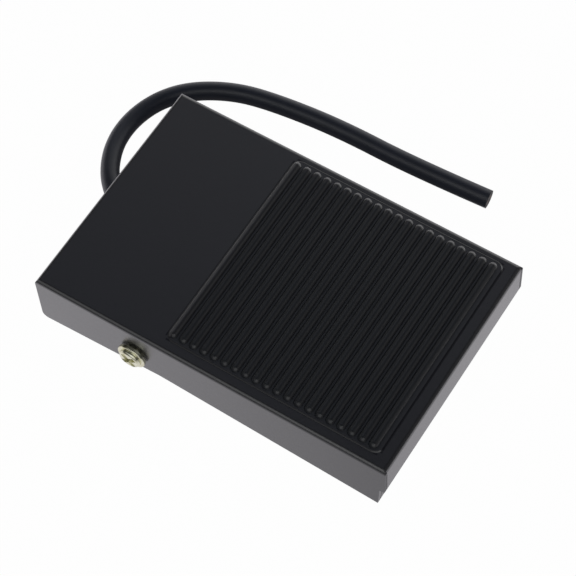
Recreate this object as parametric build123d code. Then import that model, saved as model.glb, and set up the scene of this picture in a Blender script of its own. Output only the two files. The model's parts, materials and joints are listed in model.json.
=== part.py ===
"""Metal foot switch: a ribbed pedal cover that rocks on two side screws over a folded tray.

X runs from the rear (cord side) to the toe, Y from the near long side to the far one, Z is up.
The origin is on the floor under the middle of the switch. All sizes are in millimetres.
"""
import os
from math import cos, radians, sin, tan

from build123d import *

# Pedal cover, measured along its own top face
pedal_length = 97.4
pedal_width = 63.5
pedal_sheet = 0.8
pedal_bend = 1.1
flange_rear = 16.75
flange_toe = 10.45
flange_rear_round = 1.6
flange_toe_round = 0.8
rear_lip = 7.0
toe_lip = 9.9
corner_slit = 0.15
rest_tilt = 3.2
rear_height = 18.7

# Tread panel and its pressed ribs
tread_from_rear = 35.0
tread_to_toe = 3.4
tread_to_side = 2.55
tread_offset = 0.6
tread_step = 0.2
tread_slope = 60
tread_corner = 2.5
tread_rim = 0.8
tread_toe_rim = 1.5
tread_rear_rim = 0.25
rib_count = 20
rib_width = 2.45
rib_height = 0.9
groove_width = 0.9
groove_draft = 12

# Tray under the cover
tray_sheet = 1.2
tray_bend = 1.35
side_gap = 0.8
end_gap = 1.1
stop_gap = 0.4
foot_drop = 0.8
boss_base = 7.4
boss_top = 6.4
boss_height = 2.4

# Rubber feet
foot_diameter = 10.0
foot_inset = 9.0
foot_chamfer = 0.4

# Pivot screws, nuts and washers
pivot_from_rear = 28.2
pivot_height = 10.8
pivot_shoulder = 5.0
pivot_thread = 4.0
running_fit = 0.05
head_stand_off = 0.6
head_diameter = 7.6
head_rim = 0.9
dome_diameter = 5.8
dome_height = 1.0
recess_length = 4.6
recess_width = 1.3
recess_depth = 1.6
recess_draft = 12
recess_turn = 45
pivot_nut_flats = 7.0
pivot_nut_height = 3.2
washer_diameter = 8.4
washer_thickness = 0.6
screw_tip = 0.8

# Return spring and its cup under the pedal
spring_to_toe = 18.3
spring_diameter = 9.0
spring_wire = 0.9
spring_turns = 7
spring_gap = 0.12
cup_diameter = 13.0
cup_sheet = 0.8
cup_boss_diameter = 6.6
cup_boss_height = 2.0

# Snap-action switch
plunger_from_pivot = 18.4
switch_length = 19.8
switch_width = 6.4
switch_height = 10.2
switch_lid = 1.0
switch_bottom = 7.4
switch_round = 0.5
plunger_offset = 2.6
plunger_diameter = 2.4
plunger_rise = 1.6
plunger_travel = 1.2
plunger_guide = 1.8
terminal_pitch = 7.8
terminal_width = 3.0
terminal_sheet = 0.5
terminal_drop = 3.8
terminal_eye = 1.2
switch_hole_pitch = 9.5
switch_hole_rise = 2.9

# Bracket, rivets, screws and nuts of the switch
bracket_sheet = 1.0
bracket_length = 17.0
bracket_height = 13.4
bracket_foot = 10.5
rivet_diameter = 3.0
rivet_head = 5.0
rivet_head_height = 0.6
rivet_pitch = 10.0
rivet_out = 6.5
screw_diameter = 2.0
screw_head = 3.8
screw_head_height = 1.3
screw_nut_flats = 4.0
screw_nut_height = 1.6
hole_clearance = 0.1

# Striker under the pedal
striker_length = 14.0
striker_width = 12.0
striker_sheet = 0.8
dimple_diameter = 4.0
contact_gap = 0.2

# Cord, its clip and its grommet
cord_diameter = 4.9
cord_from_rear = [
    (18.7, -1.6, 6.4),
    (11.4, -1.6, 6.4),
    (3.4, 0.5, 6.4),
    (-2.9, 4.4, 5.9),
    (-7.9, 9.8, 4.7),
    (-11.6, 17.8, 3.4),
    (-12.2, 26.5, 2.6),
    (-9.7, 34.8, 2.5),
    (-4.3, 41.8, 2.5),
    (5.3, 47.7, 2.5),
    (16.2, 50.5, 2.5),
    (34.0, 52.8, 2.5),
    (56.1, 53.2, 2.5),
    (76.8, 55.2, 2.5),
]
bend_share = 0.45
tail_length = 9.0
clip_length = 6.0
clip_wall = 1.7
clip_tab_reach = 11.5
clip_tab_sheet = 1.3
clip_stud = 3.0
clip_stud_spare = 1.0
clip_nut_flats = 5.5
clip_nut_height = 2.4
outlet_y = 1.3
outlet_z = 6.5
outlet_opening = (8.4, 6.0)
grommet_wall = 0.7
grommet_lip = 0.6
grommet_ridge = 0.25
grommet_lip_thickness = 1.0
core_diameter = 1.4
core_spread = 1.1
core_height = 4.6
core_clear = 2.4
core_straight = 3.0

# Worked out from the sizes above
tilt = radians(rest_tilt)
rear_x = -(pedal_length * cos(tilt) + toe_lip * sin(tilt)) / 2
tray_width = pedal_width - 2 * (pedal_sheet + side_gap)
tray_length = pedal_length * cos(tilt) - 2 * (pedal_sheet + end_gap)
tray_floor = foot_drop + tray_sheet
pivot_x = rear_x + pivot_from_rear
spring_x = rear_x + pedal_length - spring_to_toe
plunger_x = pivot_x + plunger_from_pivot
switch_x = plunger_x + plunger_offset
switch_top = switch_bottom + switch_height
tread_length = pedal_length - tread_from_rear - tread_to_toe
tread_width = pedal_width - 2 * tread_to_side
tread_middle = tread_from_rear + tread_length / 2
rib_span = tread_width - 2 * tread_rim
rib_pitch = (tread_length - tread_toe_rim - tread_rear_rim - rib_width) / (rib_count - 1)
last_rib = pedal_length - tread_to_toe - tread_toe_rim - rib_width / 2
pedal_place = Pos(rear_x, 0, rear_height) * Rot(0, -rest_tilt, 0)
cord_route = [(rear_x + x, y, z) for x, y, z in cord_from_rear]
clip_x, clip_y, clip_z = cord_route[0]


def cover_underside(x, depth=0.0):
    """Height at x of a plane that lies a given depth under the pedal's top face."""
    return rear_height + (x - rear_x) * tan(tilt) - depth / cos(tilt)


tray_top = cover_underside(-tray_length / 2, pedal_sheet) - stop_gap


def across(sketch, width):
    """Extrude a side view (X, Z) over a width, half to each side of the middle plane."""
    return extrude(Plane.XZ * sketch, amount=width / 2, both=True)


def hexagon(flats, height, bore):
    """Nut on Z with its seat at z = 0."""
    nut = extrude(RegularPolygon(flats / 2, 6, major_radius=False), amount=height)
    crown = Cylinder(flats / 2 * 1.1, height, align=(Align.CENTER, Align.CENTER, Align.MIN))
    return (nut & crown) - Cylinder(bore / 2, height * 3)


def disc(diameter, bottom, height):
    """Upright cylinder that starts at a given height."""
    return Pos(0, 0, bottom + height / 2) * Cylinder(diameter / 2, height)


def rounded_block(length, width, bend, flange, rounds):
    """Block with its top face at z = 0 and its top edges rounded; its depth tapers along X."""
    (rear, toe), (rear_round, toe_round) = flange, rounds
    side = make_face(Polyline((0, 0), (length, 0), (length, -toe), (0, -rear), close=True))
    for (x, y), radius in (((length, -toe), toe_round), ((0, -rear), rear_round)):
        if radius:
            side = fillet(side.vertices().sort_by_distance((x, y, 0))[0], radius)
    block = across(side, width)
    return fillet(block.faces().sort_by(Axis.Z)[-1].edges(), bend)


def folded_lid(length, width, sheet, bend, flange, lips, rounds):
    """Sheet lid, top face at z = 0: long flanges over the full length, end lips between them."""
    deep = 2 * max(flange)
    hollow = rounded_block(length - 2 * sheet, width - 2 * sheet, bend - sheet, (deep, deep), (0, 0))
    lid = rounded_block(length, width, bend, flange, rounds) - Pos(sheet, 0, -sheet) * hollow
    between = width - 2 * sheet
    for x, lip in ((0, lips[0]), (length, lips[1])):
        lid -= Pos(x, 0, -lip - deep / 2) * Box(2 * sheet, between, deep)
        for side in (-1, 1):
            slit_y = side * (between - corner_slit) / 2
            lid -= Pos(x, slit_y, -bend - deep / 2) * Box(2 * sheet, corner_slit, deep)
    return lid


def rib():
    """One pressed rib along Y, round on top and at both ends, its foot sunk into the tread."""
    radius = (rib_width**2 / 4 + rib_height**2) / (2 * rib_height)
    round_top = Pos(0, rib_height - radius) * Circle(radius)
    keep = Pos(0, rib_height / 2 - tread_step / 4) * Rectangle(2 * radius, rib_height + tread_step / 2)
    profile = round_top & keep
    straight = across(profile, rib_span - rib_width)
    half = profile & (Pos(radius / 2, 0) * Rectangle(radius, 4 * radius))
    end = revolve(Plane.XZ * half, axis=Axis.Z)
    reach = (rib_span - rib_width) / 2
    return straight + Pos(0, reach, 0) * end + Pos(0, -reach, 0) * end


def rib_places():
    """Middle of each rib along the pedal, from the toe back to the rear."""
    return [last_rib - i * rib_pitch for i in range(rib_count)]


def pedal_cover():
    """The folded cover with its tread pressed up, grooved under each rib and holed for the pivots."""
    flange, lips = (flange_rear, flange_toe), (rear_lip, toe_lip)
    rounds = (flange_rear_round, flange_toe_round)
    cover = folded_lid(pedal_length, pedal_width, pedal_sheet, pedal_bend, flange, lips, rounds)
    panel = RectangleRounded(tread_length, tread_width, tread_corner)
    cover += Pos(tread_middle, tread_offset, 0) * extrude(panel, amount=tread_step, taper=tread_slope)
    cover += [Pos(x, tread_offset, tread_step) * rib() for x in rib_places()]
    inside = RectangleRounded(tread_length - pedal_sheet, tread_width - pedal_sheet, tread_corner)
    hollow = extrude(inside, amount=tread_step, taper=tread_slope)
    cover -= Pos(tread_middle, tread_offset, -pedal_sheet) * hollow
    slot = SlotOverall(rib_span - rib_width, groove_width, rotation=90)
    groove = extrude(slot, amount=rib_height, taper=groove_draft)
    cover -= [Pos(x, tread_offset, tread_step - pedal_sheet) * groove for x in rib_places()]
    bore = Cylinder(pivot_shoulder / 2 + running_fit, pedal_width * 2, rotation=(90, 0, 0))
    return pedal_place * cover - Pos(pivot_x, 0, pivot_height) * bore


def tray_boss():
    """Boss pressed up in the tray, which centres the spring: the solid and the hollow below it."""
    cone = Cone(boss_base / 2, boss_top / 2, boss_height)
    hollow = Cone(boss_base / 2 - tray_sheet, boss_top / 2 - tray_sheet, boss_height)
    middle = boss_height / 2
    solid = Pos(spring_x, 0, tray_floor + middle) * cone
    return solid, Pos(spring_x, 0, foot_drop + middle) * hollow


def outlet(grow):
    """Long round outline of the cord outlet, grown all round, in the plane of the rear wall."""
    wide, high = outlet_opening
    return SlotOverall(wide + 2 * grow, high + 2 * grow)


def at_outlet(sketch, start, thickness):
    """Extrude an outlet outline inwards from a given distance inside the rear wall's outer face."""
    place = Plane(origin=(start - tray_length / 2, outlet_y, outlet_z), x_dir=(0, 1, 0), z_dir=(1, 0, 0))
    return extrude(place * sketch, amount=thickness)


def tray():
    """The folded pan: pivot holes, rivet holes, the cord outlet and the spring boss."""
    depth = tray_top - foot_drop
    plain = (flange_toe_round, flange_toe_round)
    pan = folded_lid(tray_length, tray_width, tray_sheet, tray_bend, (depth, depth), (depth, depth), plain)
    pan = Pos(-tray_length / 2, 0, foot_drop) * Rot(180, 0, 0) * pan
    bore = Cylinder(pivot_thread / 2 + running_fit, tray_width * 2, rotation=(90, 0, 0))
    pan -= Pos(pivot_x, 0, pivot_height) * bore
    pan -= at_outlet(outlet(grommet_wall), -1, tray_sheet + 2)
    for x, y in rivet_places():
        pan -= Pos(x, y, tray_floor) * Cylinder(rivet_diameter / 2, 4 * tray_sheet)
    solid, hollow = tray_boss()
    return pan + solid - hollow


def rubber_feet():
    """Four round feet stuck to the corners of the tray's underside."""
    foot = disc(foot_diameter, 0, foot_drop)
    foot = chamfer(foot.edges().group_by(Axis.Z)[0], foot_chamfer)
    reach_x, reach_y = tray_length / 2 - foot_inset, tray_width / 2 - foot_inset
    return [Pos(x, y, 0) * foot for x in (-reach_x, reach_x) for y in (-reach_y, reach_y)]


def on_side(side, part):
    """Turn a part made along +Z to point out of a long side, from the tray wall's outer face."""
    return Pos(pivot_x, side * tray_width / 2, pivot_height) * Rot(-90 * side, 0, 0) * part


def pivot_screw():
    """Shoulder screw: thread, shoulder that the pedal turns on, rimmed head with a cross recess."""
    thread_reach = tray_sheet + pivot_nut_height + screw_tip
    shoulder_reach = side_gap + pedal_sheet + head_stand_off
    thread = disc(pivot_thread, -thread_reach, thread_reach)
    thread = chamfer(thread.edges().group_by(Axis.Z)[0], pivot_thread / 10)
    shoulder = disc(pivot_shoulder, 0, shoulder_reach)
    rim = disc(head_diameter, shoulder_reach, head_rim)
    rim = fillet(rim.edges().group_by(Axis.Z)[-1], head_rim / 3)
    dome_base = shoulder_reach + head_rim
    dome = disc(dome_diameter, dome_base - head_rim / 2, dome_height + head_rim / 2)
    dome = fillet(dome.edges().group_by(Axis.Z)[-1], dome_height * 0.8)
    screw = thread + shoulder + rim + dome
    arm = extrude(Rectangle(recess_length, recess_width), amount=-recess_depth, taper=recess_draft)
    for turn in (recess_turn, recess_turn + 90):
        screw -= Pos(0, 0, dome_base + dome_height) * Rot(0, 0, turn) * arm
    return screw


def pivot_nut():
    """Nut welded to the inner face of the tray's side wall."""
    nut = hexagon(pivot_nut_flats, pivot_nut_height, pivot_thread + 2 * running_fit)
    return Pos(0, 0, -tray_sheet - pivot_nut_height) * nut


def gap_washer():
    """Thin washer that keeps the cover's flange off the tray."""
    ring = disc(washer_diameter, 0, washer_thickness)
    return ring - Cylinder(pivot_shoulder / 2 + running_fit, pedal_width)


def spring_top():
    """Height of the spring's ground top, just clear of the tilted cup."""
    lowest = spring_x - (spring_diameter + spring_wire) / 2
    return cover_underside(lowest, pedal_sheet - tread_step + cup_sheet) - spring_gap


def return_spring():
    """Compression spring with ground ends, upright on the tray around the boss."""
    height = spring_top() - tray_floor
    path = Helix(height / spring_turns, height, spring_diameter / 2)
    section = Plane(origin=path @ 0, z_dir=path % 0) * Circle(spring_wire / 2)
    coil = sweep(section, path=path, is_frenet=True)
    slab = Pos(0, 0, height / 2) * Box(4 * spring_diameter, 4 * spring_diameter, height)
    return Pos(spring_x, 0, tray_floor) * (coil & slab)


def under_pedal(x, part):
    """Hang a part, made with its top face at z = 0, from the underside of the tread at x."""
    along = (x - rear_x) / cos(tilt)
    return pedal_place * Pos(along, 0, tread_step - pedal_sheet) * part


def spring_cup():
    """Pressed cup welded under the tread, its boss inside the spring."""
    cup = disc(cup_diameter, -cup_sheet, cup_sheet)
    boss = disc(cup_boss_diameter, -cup_sheet - cup_boss_height, cup_boss_height)
    boss = fillet(boss.edges().group_by(Axis.Z)[0], cup_boss_height / 3)
    return under_pedal(spring_x, cup + boss)


def plunger_top():
    """Height of the plunger's tip at rest."""
    return switch_top + plunger_rise


def striker():
    """Plate welded under the tread with a round dimple that presses the plunger."""
    plate = extrude(RectangleRounded(striker_length, striker_width, 2), amount=-striker_sheet)
    reach = cover_underside(plunger_x, pedal_sheet - tread_step + striker_sheet)
    drop = reach - plunger_top() - contact_gap
    dimple = disc(dimple_diameter, -striker_sheet - drop, drop + striker_sheet / 2)
    dimple = fillet(dimple.edges().group_by(Axis.Z)[0], drop * 0.8)
    return under_pedal(plunger_x, plate + dimple)


def switch_holes(diameter):
    """The two bores across the switch and its bracket."""
    rise = switch_bottom + switch_hole_rise
    bore = Cylinder(diameter / 2, 6 * switch_width, rotation=(90, 0, 0))
    return [Pos(switch_x + side * switch_hole_pitch / 2, 0, rise) * bore for side in (-1, 1)]


def switch_block(y_from, y_to):
    """A slice of the switch's rounded box between two planes across Y."""
    face = RectangleRounded(switch_length, switch_height, switch_round)
    face = Pos(switch_x, (switch_bottom + switch_top) / 2) * face
    return Pos(0, y_to, 0) * extrude(Plane.XZ * face, amount=y_to - y_from)


def switch_housing():
    """Moulded housing with a blind guide for the plunger."""
    box = switch_block(switch_lid - switch_width / 2, switch_width / 2)
    box -= switch_holes(screw_diameter + 2 * hole_clearance)
    guide = plunger_guide + plunger_travel + hole_clearance
    bore = disc(plunger_diameter + 2 * hole_clearance, switch_top - guide, 2 * guide)
    return box - Pos(plunger_x, 0, 0) * bore


def switch_cap():
    """Lid on the near side of the housing."""
    cap = switch_block(-switch_width / 2, switch_lid - switch_width / 2)
    return cap - switch_holes(screw_diameter + 2 * hole_clearance)


def switch_plunger():
    """Round-tipped plunger, guided in the housing."""
    pin = disc(plunger_diameter, switch_top - plunger_guide, plunger_guide + plunger_rise)
    pin = fillet(pin.edges().group_by(Axis.Z)[-1], plunger_diameter / 4)
    return Pos(plunger_x, 0, 0) * pin


def terminal(place):
    """Solder blade under the housing, with an eye."""
    middle = switch_bottom - terminal_drop / 2
    blade = Box(terminal_width, terminal_sheet, terminal_drop)
    blade = chamfer(blade.edges().filter_by(Axis.Y).group_by(Axis.Z)[0], terminal_sheet)
    eye = Cylinder(terminal_eye / 2, terminal_width, rotation=(90, 0, 0))
    blade -= Pos(0, 0, -terminal_drop / 2 + 2 * terminal_eye) * eye
    return Pos(switch_x + place * terminal_pitch, 0, middle) * blade


def switch_bracket():
    """Folded angle: the switch's back leans on the upright, the foot is riveted to the tray."""
    back = switch_width / 2
    foot_end = back + bracket_foot
    points = [(back, 0), (foot_end, 0), (foot_end, bracket_sheet), (back + bracket_sheet, bracket_sheet)]
    points += [(back + bracket_sheet, bracket_height), (back, bracket_height)]
    angle = make_face(Polyline(*points, close=True))
    angle = fillet(angle.vertices().sort_by_distance((back, 0, 0))[0], 1.5 * bracket_sheet)
    inner_corner = (back + bracket_sheet, bracket_sheet, 0)
    angle = fillet(angle.vertices().sort_by_distance(inner_corner)[0], bracket_sheet / 2)
    place = Plane(origin=(switch_x - bracket_length / 2, 0, tray_floor), x_dir=(0, 1, 0), z_dir=(1, 0, 0))
    plate = extrude(place * angle, amount=bracket_length)
    plate -= switch_holes(screw_diameter + 2 * hole_clearance)
    for x, y in rivet_places():
        plate -= Pos(x, y, tray_floor) * Cylinder(rivet_diameter / 2, 4 * bracket_sheet)
    return plate


def rivet_places():
    """Where the bracket's rivets stand."""
    return [(switch_x + side * rivet_pitch / 2, switch_width / 2 + rivet_out) for side in (-1, 1)]


def bracket_rivets():
    """Two rivets through the bracket's foot and the tray, a low head on each side."""
    shank = disc(rivet_diameter, foot_drop, tray_sheet + bracket_sheet)
    upper = disc(rivet_head, tray_floor + bracket_sheet, rivet_head_height)
    upper = fillet(upper.edges().group_by(Axis.Z)[-1], rivet_head_height * 0.6)
    lower = disc(rivet_head, foot_drop - rivet_head_height, rivet_head_height)
    lower = fillet(lower.edges().group_by(Axis.Z)[0], rivet_head_height * 0.6)
    return [Pos(x, y, 0) * (shank + upper + lower) for x, y in rivet_places()]


def through_switch(part):
    """Copies of a part made along +Z, on both of the switch's holes, pointing to the near side."""
    rise = switch_bottom + switch_hole_rise
    places = [switch_x + side * switch_hole_pitch / 2 for side in (-1, 1)]
    return [Pos(x, -switch_width / 2, rise) * Rot(90, 0, 0) * part for x in places]


def switch_screws():
    """Pan head screws that clamp the switch to its bracket."""
    reach = switch_width + bracket_sheet + screw_nut_height + screw_tip
    head = disc(screw_head, 0, screw_head_height)
    head = fillet(head.edges().group_by(Axis.Z)[-1], screw_head_height / 2)
    slot = Pos(0, 0, screw_head_height) * Box(screw_head, screw_diameter / 4, screw_head_height)
    return through_switch(disc(screw_diameter, -reach, reach) + head - slot)


def switch_nuts():
    """Nuts behind the bracket."""
    nut = hexagon(screw_nut_flats, screw_nut_height, screw_diameter + 2 * running_fit)
    return through_switch(Pos(0, 0, -switch_width - bracket_sheet - screw_nut_height) * nut)


def cord_radii(points):
    """As large an arc at each corner of the route as its two runs allow."""
    points = [Vector(*p) for p in points]
    radii = []
    for before, corner, after in zip(points, points[1:], points[2:]):
        turn = radians((corner - before).get_angle(after - corner))
        shorter = min((corner - before).length, (after - corner).length)
        radii.append(bend_share * shorter / tan(turn / 2))
    return radii


def tube(points, diameter, radii):
    """Round solid along straight runs joined by tangent arcs."""
    path = FilletPolyline(*points, radius=radii)
    section = Plane(origin=path @ 0, z_dir=path % 0) * Circle(diameter / 2)
    return sweep(section, path=path), path.length


def cord():
    """The free cord, from the clip round the far corner to its cut end."""
    radii = cord_radii(cord_route)
    print("cord radii", [round(r, 1) for r in radii])
    solid, length = tube(cord_route, cord_diameter, radii)
    section = Circle(cord_diameter / 2).area
    print("cord length", round(length, 1), "section times length", round(section * length))
    print("cord volume", round(solid.volume))
    return solid


def cord_tail():
    """The cord inside the clip, up to the end of its jacket."""
    tail = Cylinder(cord_diameter / 2, tail_length, rotation=(0, 90, 0))
    return Pos(clip_x + tail_length / 2, clip_y, clip_z) * tail


def core(side, place):
    """One insulated core from the tail's end to a terminal, on its own side of the terminals."""
    start = (clip_x + tail_length, clip_y + side * core_spread, clip_z)
    end_x = switch_x + place * terminal_pitch
    lane = side * core_clear
    points = [start, (start[0] + core_straight, start[1], start[2])]
    points += [(start[0] + 3 * core_straight, lane, core_height), (end_x, lane, core_height)]
    points.append((end_x, side * terminal_sheet / 2, core_height))
    return tube(points, core_diameter, cord_radii(points))[0]


def cord_clip():
    """Clip bent round the cord, with a flat tab on the tray."""
    ring = Pos(clip_y, clip_z - tray_floor) * Circle(cord_diameter / 2 + running_fit + clip_wall)
    tab = Pos(clip_y - clip_tab_reach / 2, clip_tab_sheet / 2) * Rectangle(clip_tab_reach, clip_tab_sheet)
    hole = Pos(clip_y, clip_z - tray_floor) * Circle(cord_diameter / 2 + running_fit)
    place = Plane(origin=(clip_x, 0, tray_floor), x_dir=(0, 1, 0), z_dir=(1, 0, 0))
    clip = extrude(place * ((ring + tab) - hole), amount=clip_length)
    above = Pos(0, 0, tray_floor + pedal_width / 2) * Box(4 * pedal_length, 4 * pedal_width, pedal_width)
    x, y = stud_place()
    bore = Cylinder(clip_stud / 2 + hole_clearance, 4 * clip_tab_sheet)
    return (clip & above) - Pos(x, y, tray_floor) * bore


def stud_place():
    """Where the clip's stud stands on the tray."""
    return clip_x + clip_length / 2, clip_y - clip_tab_reach + clip_length / 2


def clip_stud_part():
    """Stud welded to the tray."""
    x, y = stud_place()
    height = clip_tab_sheet + clip_nut_height + clip_stud_spare
    return Pos(x, y, 0) * disc(clip_stud, tray_floor, height)


def clip_nut():
    """Nut on the clip's stud."""
    x, y = stud_place()
    nut = hexagon(clip_nut_flats, clip_nut_height, clip_stud + 2 * running_fit)
    return Pos(x, y, tray_floor + clip_tab_sheet) * nut


def cord_grommet():
    """Rubber ring in the outlet: a lip outside the rear wall and a ridge inside it."""
    ring = at_outlet(outlet(grommet_wall), -grommet_lip_thickness, grommet_lip_thickness * 2 + tray_sheet)
    ring += at_outlet(outlet(grommet_wall + grommet_lip), -grommet_lip_thickness, grommet_lip_thickness)
    ring += at_outlet(outlet(grommet_wall + grommet_ridge), tray_sheet, grommet_lip_thickness)
    return ring - at_outlet(outlet(0), -3 * grommet_lip_thickness, 9 * grommet_lip_thickness)


def build():
    """Every node by name."""
    return {
        "pedal_cover": pedal_cover(),
        "base_tray": tray(),
        "rubber_feet": rubber_feet(),
        "pivot_screw_near": on_side(-1, pivot_screw()),
        "pivot_screw_far": on_side(1, pivot_screw()),
        "pivot_nut_near": on_side(-1, pivot_nut()),
        "pivot_nut_far": on_side(1, pivot_nut()),
        "gap_washer_near": on_side(-1, gap_washer()),
        "gap_washer_far": on_side(1, gap_washer()),
        "return_spring": return_spring(),
        "spring_cup": spring_cup(),
        "striker": striker(),
        "switch_housing": switch_housing(),
        "switch_cap": switch_cap(),
        "switch_plunger": switch_plunger(),
        "terminal_rear": terminal(-1),
        "terminal_middle": terminal(0),
        "terminal_toe": terminal(1),
        "switch_bracket": switch_bracket(),
        "bracket_rivets": bracket_rivets(),
        "switch_screws": switch_screws(),
        "switch_nuts": switch_nuts(),
        "cord_grommet": cord_grommet(),
        "cord_clip": cord_clip(),
        "clip_stud": clip_stud_part(),
        "clip_nut": clip_nut(),
        "cord_tail": cord_tail(),
        "core_near": core(-1, -1),
        "core_far": core(1, 0),
        "cord": cord(),
    }


os.makedirs("parts", exist_ok=True)
for name, shape in build().items():
    solids = shape if isinstance(shape, list) else shape.solids()
    export_step(Compound(children=list(solids)) if len(solids) > 1 else solids[0], f"parts/{name}.step")
print("pivot", round(pivot_x, 2), pivot_height, "tray top", round(tray_top, 2))
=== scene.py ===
"""Looks of the foot switch: camera, light, floor, materials, the free cord and the return spring.

Lengths are in metres where nothing else is said.
"""
import json
import math

import bpy
from mathutils import Matrix, Vector


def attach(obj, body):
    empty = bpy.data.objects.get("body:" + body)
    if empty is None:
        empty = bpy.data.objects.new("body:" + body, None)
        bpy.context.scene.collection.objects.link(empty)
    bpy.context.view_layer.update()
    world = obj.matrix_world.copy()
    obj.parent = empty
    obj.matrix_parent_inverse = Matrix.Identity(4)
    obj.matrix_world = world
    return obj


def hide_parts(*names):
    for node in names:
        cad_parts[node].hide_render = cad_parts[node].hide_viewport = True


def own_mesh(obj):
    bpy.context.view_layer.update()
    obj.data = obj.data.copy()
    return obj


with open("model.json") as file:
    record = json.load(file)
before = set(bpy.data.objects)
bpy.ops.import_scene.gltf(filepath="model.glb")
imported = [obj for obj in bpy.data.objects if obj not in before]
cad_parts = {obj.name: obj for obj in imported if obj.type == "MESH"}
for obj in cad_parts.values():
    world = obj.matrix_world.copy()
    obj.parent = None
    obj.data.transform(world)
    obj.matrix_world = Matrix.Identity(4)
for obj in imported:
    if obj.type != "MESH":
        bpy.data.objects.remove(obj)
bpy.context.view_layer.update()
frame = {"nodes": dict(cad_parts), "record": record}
MM = 0.001

# Camera, solved from the edges of the photographed switch; distances in millimetres
PHOTO_PIXELS = 576
SENSOR = 36.0
FOCAL_PIXELS = 2244.4
AZIMUTH, ELEVATION, ROLL = (math.radians(angle) for angle in (30.798, 62.124, 1.605))
DISTANCE = 551.5
SHIFT_RIGHT, SHIFT_UP = 2.528, 5.868
FRAME_SHIFT = (-0.349, 0.245, 1.0)

# Pedal in millimetres: the slope of its top side at rest, the heights over that slope at which a point starts to
# count as top and fully does, and the distances from the middle at which the long folds and the flanges begin
TOP_SLOPE = 0.0559
TOP_FROM, TOP_FULL = 21.0, 21.625
FOLD_FROM_MIDDLE = 31.0
FLANGE_FROM, FLANGE_FULL = 30.8, 30.967

# Colours of the paint: two shades of the film, dust specks, worn lines with a painted highlight, a painted sheen
# on the ribs and painted light on their slopes to the toe
PAINT_DARK, PAINT_LIGHT = (0.0036, 0.0042, 0.0078), (0.0056, 0.0062, 0.0108)
PAINT_SPECK = (0.06, 0.06, 0.065)
PAINT_WORN_HIGHLIGHT = (0.085, 0.085, 0.09)
PAINT_RIBS_SHEEN = (0.0122, 0.0145, 0.0190)
PAINT_SLOPE_LIGHT = (0.024, 0.025, 0.029)

# Tread panel on the pedal, in millimetres, and the shallow steps round it
TREAD_REAR, TREAD_TOE = -14.0, 44.9
TREAD_MIDDLE_X, TREAD_HALF_LENGTH = (TREAD_REAR + TREAD_TOE) / 2, (TREAD_TOE - TREAD_REAR) / 2
TREAD_MIDDLE_Y, TREAD_HALF_WIDTH = 0.6, 29.2
STEP_INSET, STEP_HALF = 0.13, 0.25

# Free cord: the same route and size as in the part's source
CORD_DIAMETER = 4.9 * MM
CORE_FROM_MIDDLE = 0.8 * MM
REAR_X = -48.9004
CORD_FROM_REAR = [
    (18.7, -1.6, 6.4),
    (11.4, -1.6, 6.4),
    (3.4, 0.5, 6.4),
    (-2.9, 4.4, 5.9),
    (-7.9, 9.8, 4.7),
    (-11.6, 17.8, 3.4),
    (-12.2, 26.5, 2.6),
    (-9.7, 34.8, 2.5),
    (-4.3, 41.8, 2.5),
    (5.3, 47.7, 2.5),
    (16.2, 50.5, 2.5),
    (34.0, 52.8, 2.5),
    (56.1, 53.2, 2.5),
    (76.8, 55.2, 2.5),
]
CORD_ROUTE = [((REAR_X + x) * MM, y * MM, z * MM) for x, y, z in CORD_FROM_REAR]

# Floor: half its side, the share of plain white that the camera sees, and its colour and dimming in gloss
FLOOR_HALF = 3.0
FLOOR_SHARE = 0.985
FLOOR_GLOSS = (0.98, 0.955, 1.0)
NEAR_GLOSS = 0.3
LOOP_DIMMING = 0.85

# Grey or colour of the world by height, for light and gloss; the overhead one leans
SKY_OVERHEAD = [
    (0.70, (0.42, 0.44, 0.53)),
    (0.78, (0.29, 0.305, 0.375)),
    (0.835, (0.13, 0.14, 0.18)),
    (0.89, (0.075, 0.082, 0.108)),
    (0.98, 0.02),
]
SKY_FAR = [(0.0, 1.0), (0.4, 0.85), (0.6, 0.4), (0.74, 0.18)]
SKY_SIDE = [(0.02, 0.6), (0.08, 0.35), (0.14, 0.065), (0.6, 0.06)]
SKY_NEAR = [(0.0, 0.1), (0.4, 0.12), (0.56, 0.4), (0.78, 0.4), (0.95, 0.05)]


def make_camera():
    """Camera at the photograph's viewpoint."""
    level = math.cos(ELEVATION)
    back = Vector((math.sin(AZIMUTH) * level, -math.cos(AZIMUTH) * level, math.sin(ELEVATION)))
    right = Vector((math.cos(AZIMUTH), math.sin(AZIMUTH), 0.0))
    up = back.cross(right)
    rolled_right = math.cos(ROLL) * right + math.sin(ROLL) * up
    rolled_up = math.cos(ROLL) * up - math.sin(ROLL) * right
    eye = back * DISTANCE + rolled_right * SHIFT_RIGHT + rolled_up * SHIFT_UP + Vector(FRAME_SHIFT)
    data = bpy.data.cameras.new("camera")
    data.sensor_width = SENSOR
    data.lens = FOCAL_PIXELS * SENSOR / PHOTO_PIXELS
    data.clip_start = 0.01
    camera = bpy.data.objects.new("camera", data)
    turn = Matrix((rolled_right, rolled_up, back)).transposed().to_4x4()
    camera.matrix_world = Matrix.Translation(eye * MM) @ turn
    bpy.context.collection.objects.link(camera)
    bpy.context.scene.camera = camera


def node(tree, kind, inputs=None, **settings):
    """New shader node with its settings and its input values or links."""
    made = tree.nodes.new(kind)
    for key, value in settings.items():
        setattr(made, key, value)
    for key, value in (inputs or {}).items():
        if isinstance(value, bpy.types.NodeSocket):
            tree.links.new(value, made.inputs[key])
        else:
            made.inputs[key].default_value = value
    return made


def maths(tree, operation, first, second=0.0, third=0.0, clamp=False):
    """Math node on values or sockets."""
    made = node(tree, "ShaderNodeMath", {0: first, 1: second, 2: third}, operation=operation, use_clamp=clamp)
    return made.outputs[0]


def times(tree, first, *others):
    """Product of several sockets or values."""
    for other in others:
        first = maths(tree, "MULTIPLY", first, other)
    return first


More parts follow.
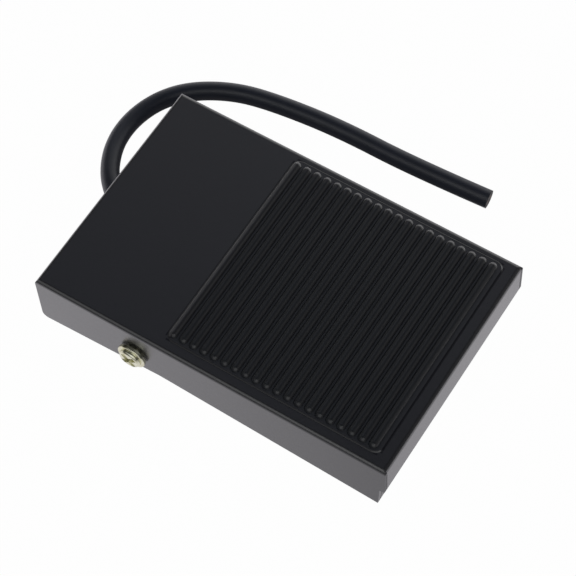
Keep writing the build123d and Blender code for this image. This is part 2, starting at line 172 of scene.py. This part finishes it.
def highest(tree, first, *others):
    """Largest of several sockets or values."""
    for other in others:
        first = maths(tree, "MAXIMUM", first, other)
    return first


def rise(tree, value, start, end):
    """0 where the value is at start, 1 where it is at end, straight between them and level outside."""
    rate = 1 / (end - start)
    return maths(tree, "MULTIPLY_ADD", value, rate, -start * rate, clamp=True)


def rise_mm(tree, value, start, end):
    """The same for a length, with start and end in millimetres."""
    return rise(tree, value, start * MM, end * MM)


def ramp(tree, value, stops):
    """Colour ramp from (position, grey or colour) pairs."""
    made = node(tree, "ShaderNodeValToRGB", {0: value})
    elements = made.color_ramp.elements
    while len(elements) < len(stops):
        elements.new(0.5)
    for element, (position, colour) in zip(elements, stops):
        element.position = position
        grey = (colour, colour, colour) if isinstance(colour, float) else colour
        element.color = (*grey, 1.0)
    return made.outputs[0]


def noise(tree, where, scale, detail):
    """Noise in the range 0 to 1; scale is in cells per metre."""
    inputs = {"Vector": where, "Scale": scale, "Detail": detail, "Roughness": 0.5}
    return node(tree, "ShaderNodeTexNoise", inputs).outputs[0]


def mix(tree, factor, first, second):
    """Mix of two colours."""
    made = node(tree, "ShaderNodeMix", data_type="RGBA")
    for index, value in ((0, factor), (6, first), (7, second)):
        if isinstance(value, bpy.types.NodeSocket):
            tree.links.new(value, made.inputs[index])
        else:
            made.inputs[index].default_value = (*value, 1.0) if isinstance(value, tuple) else value
    return made.outputs[2]


def bump(tree, height, distance, strength, normal=None):
    """Bump from a height in the range 0 to 1 and its depth in metres."""
    inputs = {"Strength": strength, "Distance": distance, "Height": height}
    if normal is not None:
        inputs["Normal"] = normal
    return node(tree, "ShaderNodeBump", inputs).outputs[0]


def new_material(name, **constants):
    """Material with a Principled shader; constants go straight to its sockets."""
    material = bpy.data.materials.new(name)
    material.use_nodes = True
    tree = material.node_tree
    shader = tree.nodes["Principled BSDF"]
    for key, value in constants.items():
        shader.inputs[key.replace("_", " ")].default_value = value
    where = node(tree, "ShaderNodeTexCoord").outputs["Object"]
    return material, tree, shader, where


def feed(tree, shader, colour, roughness, normal):
    """Link the three inputs that vary over a surface."""
    for key, value in (("Base Color", colour), ("Roughness", roughness), ("Normal", normal)):
        tree.links.new(value, shader.inputs[key])


def band(tree, value, middle, half, soft=5000.0):
    """1 within half of the middle and 0 outside, with a soft edge; lengths in millimetres."""
    distance = maths(tree, "ABSOLUTE", maths(tree, "SUBTRACT", value, middle * MM))
    return maths(tree, "MULTIPLY_ADD", distance, -soft, 0.5 + half * MM * soft, clamp=True)


def worn_and_highlight_lines(tree, along, across, top, drift):
    """Worn paint and a painted highlight on the long folds and on the rear shoulder of the tread."""
    fold = maths(tree, "SUBTRACT", 1.0, band(tree, across, 0.0, FOLD_FROM_MIDDLE, 1600.0))
    inside = band(tree, across, TREAD_MIDDLE_Y, TREAD_HALF_WIDTH - 0.9)
    shoulder = times(tree, band(tree, along, TREAD_REAR + 0.95, 0.38), inside)
    uneven = maths(tree, "MULTIPLY_ADD", drift, 0.5, 0.6)
    return times(tree, highest(tree, fold, shoulder), top, uneven)


def ribbed_field(tree, along, across, top):
    """The part of the tread that the ribs cover, short of their far ends."""
    length = band(tree, along, TREAD_MIDDLE_X + 0.6, TREAD_HALF_LENGTH - 1.6, 1500.0)
    width = band(tree, across, TREAD_MIDDLE_Y - 1.0, TREAD_HALF_WIDTH - 1.8, 1000.0)
    return times(tree, length, width, top)


def dull_steps(tree, along, across, to_far, within, tread):
    """Shallow steps round the tread and the near ends of its ribs, where the paint has less gloss."""
    near_step = band(tree, across, TREAD_MIDDLE_Y - TREAD_HALF_WIDTH + STEP_INSET, STEP_HALF)
    far_step = band(tree, across, TREAD_MIDDLE_Y + TREAD_HALF_WIDTH - STEP_INSET, STEP_HALF)
    toe_step = band(tree, along, TREAD_TOE - STEP_INSET, STEP_HALF)
    rear_step = band(tree, along, TREAD_REAR + STEP_INSET, 0.2)
    inside = band(tree, across, TREAD_MIDDLE_Y, TREAD_HALF_WIDTH - 0.9)
    long_steps = times(tree, highest(tree, near_step, far_step), within)
    end_steps = times(tree, highest(tree, toe_step, rear_step), inside)
    steps = times(tree, highest(tree, long_steps, end_steps), 0.9)
    near_ends = times(tree, rise(tree, to_far, -0.125, -0.375), tread, 0.75)
    far_edge = band(tree, across, TREAD_MIDDLE_Y + TREAD_HALF_WIDTH, 0.6)
    far_tilt = times(tree, rise(tree, to_far, 0.03, 0.13), far_edge, within)
    return highest(tree, steps, near_ends, far_tilt)


def black_paint():
    """Satin black paint on steel: fine grain, faint orange peel, worn fold edges with a painted highlight,
    painted sheen on the ribs, painted light on the tread's slopes to the toe and dull shallow steps.
    """
    material, tree, shader, where = new_material("black_paint", Metallic=0.0, IOR=2.12)
    drift = noise(tree, where, 25.0, 3.0)
    grain = noise(tree, where, 3200.0, 2.0)
    peel = noise(tree, where, 700.0, 2.0)
    specks = noise(tree, where, 1500.0, 1.0)
    place = node(tree, "ShaderNodeSeparateXYZ", {0: where})
    along, across = place.outputs["X"], place.outputs["Y"]
    turn = node(tree, "ShaderNodeSeparateXYZ", {0: node(tree, "ShaderNodeTexCoord").outputs["Normal"]})
    to_toe, to_far = turn.outputs["X"], turn.outputs["Y"]
    height = maths(tree, "MULTIPLY_ADD", along, -TOP_SLOPE, place.outputs["Z"])
    top = rise_mm(tree, height, TOP_FROM, TOP_FULL)
    within = band(tree, along, TREAD_MIDDLE_X, TREAD_HALF_LENGTH - 0.6)
    tread = times(tree, band(tree, across, TREAD_MIDDLE_Y, TREAD_HALF_WIDTH - 0.1), within)
    ribs = ribbed_field(tree, along, across, top)
    # painted light: the tread's slopes that face the toe get a lighter colour where too little light reaches
    # them
    toe_sides_painted_light = times(tree, rise(tree, to_toe, 0.32, 0.52), tread, top)
    flange_ends = rise_mm(tree, maths(tree, "ABSOLUTE", across), FLANGE_FROM, FLANGE_FULL)
    flange_ends = times(tree, rise(tree, to_toe, 0.7, 0.8), flange_ends)

    colour = ramp(tree, drift, [(0.3, PAINT_DARK), (0.7, PAINT_LIGHT)])
    dust = times(tree, ramp(tree, specks, [(0.72, 0.0), (0.80, 1.0)]), 0.2)
    colour = mix(tree, dust, colour, PAINT_SPECK)
    # painted sheen: the ribbed field's colour is lifted to make up for the gloss taken off it further down
    colour = mix(tree, ribs, colour, PAINT_RIBS_SHEEN)
    # worn paint with a painted highlight: a light line along the long folds and the tread's rear shoulder
    colour = mix(tree, worn_and_highlight_lines(tree, along, across, top, drift), colour, PAINT_WORN_HIGHLIGHT)
    colour = mix(tree, toe_sides_painted_light, colour, PAINT_SLOPE_LIGHT)

    steps = times(tree, dull_steps(tree, along, across, to_far, within, tread), top)
    dull = highest(tree, steps, times(tree, ribs, 0.4), flange_ends)
    level = maths(tree, "MULTIPLY_ADD", dull, -0.45, 0.5)
    tree.links.new(level, shader.inputs["Specular IOR Level"])
    rough = maths(tree, "MULTIPLY_ADD", grain, 0.14, 0.24)
    normal = bump(tree, peel, 0.02 * MM, 0.5)
    normal = bump(tree, grain, 0.012 * MM, 0.6, normal)
    feed(tree, shader, colour, rough, normal)
    return material


def plated(name, light, dark, roughness, patch=300.0):
    """Plated metal with cloudy patches, fine scratches and uneven gloss."""
    material, tree, shader, where = new_material(name, Metallic=1.0)
    cloud = noise(tree, where, patch, 4.0)
    fine = noise(tree, where, 4000.0, 2.0)
    colour = ramp(tree, cloud, [(0.35, dark), (0.65, light)])
    rough = maths(tree, "MULTIPLY_ADD", fine, 0.16, roughness)
    feed(tree, shader, colour, rough, bump(tree, fine, 0.006 * MM, 0.5))
    return material


def moulded(name, light, dark, roughness, grain=2500.0, **constants):
    """Moulded plastic or rubber with a fine grain and slight colour drift."""
    material, tree, shader, where = new_material(name, Metallic=0.0, **constants)
    drift = noise(tree, where, 120.0, 3.0)
    fine = noise(tree, where, grain, 3.0)
    colour = ramp(tree, drift, [(0.3, dark), (0.7, light)])
    rough = maths(tree, "MULTIPLY_ADD", fine, 0.15, roughness)
    feed(tree, shader, colour, rough, bump(tree, fine, 0.01 * MM, 0.6))
    return material


def make_materials():
    """Every material by the record's slot name."""
    jacket_light, jacket_dark = (0.019, 0.024, 0.042), (0.014, 0.019, 0.034)
    return {
        "black_paint": black_paint(),
        "yellow_zinc": plated("yellow_zinc", (0.78, 0.79, 0.64), (0.62, 0.60, 0.42), 0.14, 500.0),
        "zinc_steel": plated("zinc_steel", (0.66, 0.67, 0.69), (0.48, 0.49, 0.52), 0.26),
        "spring_steel": plated("spring_steel", (0.50, 0.50, 0.52), (0.30, 0.30, 0.32), 0.28),
        "terminal_brass": plated("terminal_brass", (0.80, 0.62, 0.30), (0.62, 0.45, 0.20), 0.24),
        "black_rubber": moulded("black_rubber", (0.022, 0.022, 0.024), (0.014, 0.014, 0.016), 0.62),
        "switch_black": moulded("switch_black", (0.030, 0.030, 0.033), (0.020, 0.020, 0.022), 0.42),
        "plunger_red": moulded("plunger_red", (0.50, 0.035, 0.022), (0.40, 0.025, 0.016), 0.22),
        "cord_jacket": moulded("cord_jacket", jacket_light, jacket_dark, 0.36, 900.0, IOR=1.65),
        "core_brown": moulded("core_brown", (0.17, 0.075, 0.035), (0.13, 0.055, 0.025), 0.28),
        "core_blue": moulded("core_blue", (0.05, 0.13, 0.42), (0.04, 0.10, 0.34), 0.28),
    }


def dress_nodes(materials):
    """Give every node of the frame the material of its slot."""
    for entry in frame["record"]["subparts"]:
        piece = frame["nodes"][entry["node"]]
        for slot in piece.material_slots:
            slot.material = materials[entry["material_slot"]]
        if not piece.material_slots:
            piece.data.materials.append(materials[entry["material_slot"]])


def show_cut(material):
    """Draw the free cord's cut face into its material: dark jacket ring, filler and two copper cores."""
    tree = material.node_tree
    shader = tree.nodes["Principled BSDF"]
    where = node(tree, "ShaderNodeTexCoord").outputs["Object"]
    end = Vector(CORD_ROUTE[-1])
    run = (end - Vector(CORD_ROUTE[-2])).normalized()
    side = Vector((-run.y, run.x, 0.0)).normalized()
    offset = node(tree, "ShaderNodeVectorMath", {0: where, 1: end}, operation="SUBTRACT").outputs["Vector"]
    ahead = node(tree, "ShaderNodeVectorMath", {0: offset, 1: run}, operation="DOT_PRODUCT").outputs["Value"]
    on_cut = rise_mm(tree, ahead, -0.1, -0.05)
    radius = node(tree, "ShaderNodeVectorMath", {0: offset}, operation="LENGTH").outputs["Value"]
    outward = rise_mm(tree, radius, 0.0, 2.5)
    colour = ramp(tree, outward, [(0.62, 0.035), (0.66, 0.004), (0.72, 0.02)])
    for direction in (-1.0, 1.0):
        ends = {0: offset, 1: side * direction * CORE_FROM_MIDDLE}
        away = node(tree, "ShaderNodeVectorMath", ends, operation="DISTANCE").outputs["Value"]
        colour = mix(tree, rise_mm(tree, away, 0.55, 0.425), colour, (0.28, 0.12, 0.06))
    base = shader.inputs["Base Color"].links[0].from_socket
    tree.links.new(mix(tree, on_cut, base, colour), shader.inputs["Base Color"])
    tree.links.new(maths(tree, "MULTIPLY_ADD", on_cut, -0.45, 0.5), shader.inputs["Specular IOR Level"])


def make_cord(materials):
    """The free cord as one smooth line with a round section."""
    curve = bpy.data.curves.new("free_cord", "CURVE")
    curve.dimensions = "3D"
    spline = curve.splines.new("NURBS")
    spline.points.add(len(CORD_ROUTE) - 1)
    for point, place in zip(spline.points, CORD_ROUTE):
        point.co = (*place, 1.0)
    spline.order_u = 3
    spline.use_endpoint_u = True
    spline.resolution_u = 16
    curve.bevel_depth = CORD_DIAMETER / 2
    curve.bevel_resolution = 10
    curve.use_fill_caps = True
    curve.materials.append(materials["cord_jacket"])
    cord = bpy.data.objects.new("free_cord", curve)
    bpy.context.collection.objects.link(cord)
    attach(cord, "base")
    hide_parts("cord")


def make_spring(materials):
    """The return spring as a piece of its own, a copy of the part's spring that rides on the base."""
    spring = bpy.data.objects.new("pedal_spring", frame["nodes"]["return_spring"].data.copy())
    bpy.context.collection.objects.link(spring)
    spring.data.materials.clear()
    spring.data.materials.append(materials["spring_steel"])
    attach(spring, "base")
    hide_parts("return_spring")
    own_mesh(spring)


def floor_in_gloss(tree, where):
    """Brightness of the floor in reflections, less beside the switch and within the cord's loop."""
    place = node(tree, "ShaderNodeSeparateXYZ", {0: where})
    x, y = place.outputs["X"], place.outputs["Y"]
    away = highest(tree, rise_mm(tree, y, -175.0, -50.0), NEAR_GLOSS)
    beside = times(tree, rise_mm(tree, x, 181.8, -45.45), away)
    before = rise_mm(tree, y, -281.25, 31.25)
    past_toe = rise_mm(tree, x, 45.625, 51.875)
    fade = mix(tree, past_toe, beside, before)
    loop_x = times(tree, rise_mm(tree, x, -59.0, -57.0), rise_mm(tree, x, 47.0, 42.0))
    loop_y = times(tree, rise_mm(tree, y, -20.0, -15.0), rise_mm(tree, y, 53.0, 51.0))
    dimmed = times(tree, loop_x, loop_y, LOOP_DIMMING)
    return times(tree, fade, maths(tree, "SUBTRACT", 1.0, dimmed))


def floor_material():
    """Matt white with a share of plain white for the camera, so that only a faint shadow shows."""
    material, tree, shader, where = new_material("floor", Roughness=0.9)
    shader.inputs["Base Color"].default_value = (0.86, 0.86, 0.86, 1.0)
    path = node(tree, "ShaderNodeLightPath")
    tint = mix(tree, floor_in_gloss(tree, where), (0.0, 0.0, 0.0), FLOOR_GLOSS)
    gloss = node(tree, "ShaderNodeEmission", {"Color": tint, "Strength": 1.0}).outputs[0]
    white = node(tree, "ShaderNodeEmission", {"Color": (1, 1, 1, 1), "Strength": 1.0}).outputs[0]
    in_gloss = path.outputs["Is Glossy Ray"]
    glow = node(tree, "ShaderNodeMixShader", {0: in_gloss, 1: white, 2: gloss}).outputs[0]
    rays = [path.outputs[f"Is {kind} Ray"] for kind in ("Camera", "Glossy", "Transmission")]
    share = times(tree, highest(tree, *rays), FLOOR_SHARE)
    blend = node(tree, "ShaderNodeMixShader", {0: share, 1: shader.outputs[0], 2: glow})
    tree.links.new(blend.outputs[0], tree.nodes["Material Output"].inputs["Surface"])
    return material


def make_floor():
    """Plain white floor that keeps the switch's shadow."""
    mesh = bpy.data.meshes.new("floor")
    corners = [(x * FLOOR_HALF, y * FLOOR_HALF, 0) for x, y in ((-1, -1), (1, -1), (1, 1), (-1, 1))]
    mesh.from_pydata(corners, [], [(0, 1, 2, 3)])
    floor = bpy.data.objects.new("floor", mesh)
    bpy.context.collection.objects.link(floor)
    mesh.materials.append(floor_material())


def make_world():
    """White for the camera; for light and gloss, bright low down, dark to both sides and grey overhead."""
    world = bpy.data.worlds.new("world")
    bpy.context.scene.world = world
    world.use_nodes = True
    tree = world.node_tree
    tree.nodes.clear()
    direction = node(tree, "ShaderNodeTexCoord").outputs["Generated"]
    parts = node(tree, "ShaderNodeSeparateXYZ", {0: direction})
    to_toe, to_far, height = (parts.outputs[axis] for axis in "XYZ")
    level = maths(tree, "SQRT", maths(tree, "SUBTRACT", 1.0, times(tree, height, height)))
    facing = maths(tree, "DIVIDE", to_far, level)
    lean = maths(tree, "MULTIPLY_ADD", to_far, -0.6, 0.393)
    lean = maths(tree, "MULTIPLY_ADD", to_toe, 0.45, lean)
    overhead = ramp(tree, maths(tree, "ADD", height, lean), SKY_OVERHEAD)
    far, side, near = (ramp(tree, height, stops) for stops in (SKY_FAR, SKY_SIDE, SKY_NEAR))
    above = rise(tree, height, 0.7375, 0.8625)
    behind = rise(tree, facing, 0.5455, 0.8485)
    before = rise(tree, facing, -0.12, -0.52)
    around = mix(tree, behind, side, far)
    sky = mix(tree, before, mix(tree, above, around, overhead), near)
    path = node(tree, "ShaderNodeLightPath")
    colour = mix(tree, path.outputs["Is Camera Ray"], sky, (1.0, 1.0, 1.0))
    background = node(tree, "ShaderNodeBackground", {"Color": colour, "Strength": 1.0})
    output = node(tree, "ShaderNodeOutputWorld", {"Surface": background.outputs[0]})
    output.is_active_output = True


def area_lamp(name, place, aim, size, power):
    """Soft square lamp that looks at a point."""
    data = bpy.data.lights.new(name, "AREA")
    data.size = size
    data.energy = power
    lamp = bpy.data.objects.new(name, data)
    lamp.location = place
    lamp.rotation_euler = (Vector(aim) - Vector(place)).to_track_quat("-Z", "Y").to_euler()
    bpy.context.collection.objects.link(lamp)


def make_lamps():
    """One wide soft lamp over the near toe corner."""
    area_lamp("near_softbox", place=(0.5, -0.95, 0.9), aim=(0.0, 0.0, 0.0), size=1.6, power=5.0)


make_camera()
shared = make_materials()
dress_nodes(shared)
show_cut(shared["cord_jacket"])
make_cord(shared)
make_spring(shared)
make_floor()
make_world()
make_lamps()
bpy.context.scene.view_settings.view_transform = "Standard"
